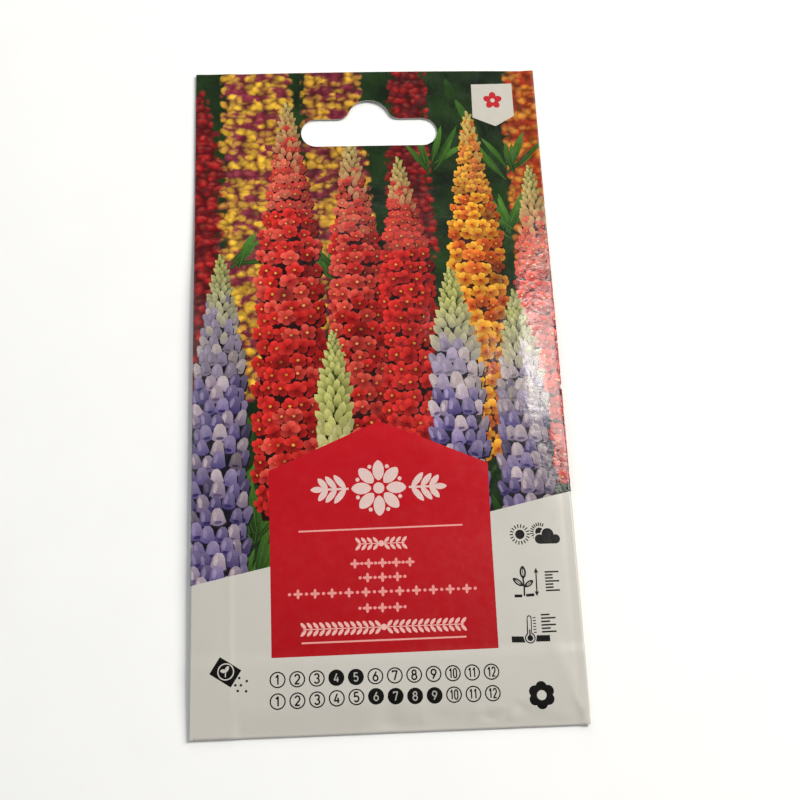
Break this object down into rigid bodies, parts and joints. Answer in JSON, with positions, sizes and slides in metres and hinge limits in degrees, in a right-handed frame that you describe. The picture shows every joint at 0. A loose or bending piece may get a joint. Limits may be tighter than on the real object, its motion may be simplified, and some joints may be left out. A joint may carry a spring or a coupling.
{
  "type": "seed packet",
  "caption": "Flat paper seed packet with a hang slot, gently filled, holding a thin inner sachet of seeds.",
  "frame": {"origin": "middle of the packet's footprint, on the plane that its back rests on", "axes": "+X across the packet, +Y up the packet towards the hang slot, +Z out of the printed front"},
  "size_m": [0.081, 0.154, 0.0049],
  "materials": {
    "printed_paper": "semi-gloss coated paper, printed on its outer side",
    "glue": "thin dried adhesive, slightly glossy",
    "sachet_film": "thin translucent glassine paper",
    "seed": "smooth mottled seed coat"
  },
  "bodies": {
    "root": {"packet_sheet": "printed_paper", "side_seam_glue": "glue", "bottom_flap_glue": "glue", "header_seal_glue": "glue", "inner_sachet_back": "sachet_film", "inner_sachet_front": "sachet_film", "seed_01": "seed", "seed_02": "seed", "seed_03": "seed", "seed_04": "seed", "seed_05": "seed", "seed_06": "seed", "seed_07": "seed", "seed_08": "seed", "seed_09": "seed", "seed_10": "seed", "seed_11": "seed", "seed_12": "seed", "seed_13": "seed", "seed_14": "seed", "seed_15": "seed", "seed_16": "seed", "seed_17": "seed", "seed_18": "seed", "seed_19": "seed", "seed_20": "seed", "seed_21": "seed", "seed_22": "seed", "seed_23": "seed", "seed_24": "seed", "seed_25": "seed", "seed_26": "seed", "seed_27": "seed", "seed_28": "seed", "seed_29": "seed", "seed_30": "seed", "seed_31": "seed", "seed_32": "seed", "seed_33": "seed", "seed_34": "seed", "seed_35": "seed", "seed_36": "seed", "seed_37": "seed", "seed_38": "seed", "seed_39": "seed", "seed_40": "seed", "seed_41": "seed", "seed_42": "seed", "seed_43": "seed", "seed_44": "seed", "seed_45": "seed", "seed_46": "seed", "seed_47": "seed", "seed_48": "seed", "seed_49": "seed", "seed_50": "seed"}
  },
  "joints": []
}
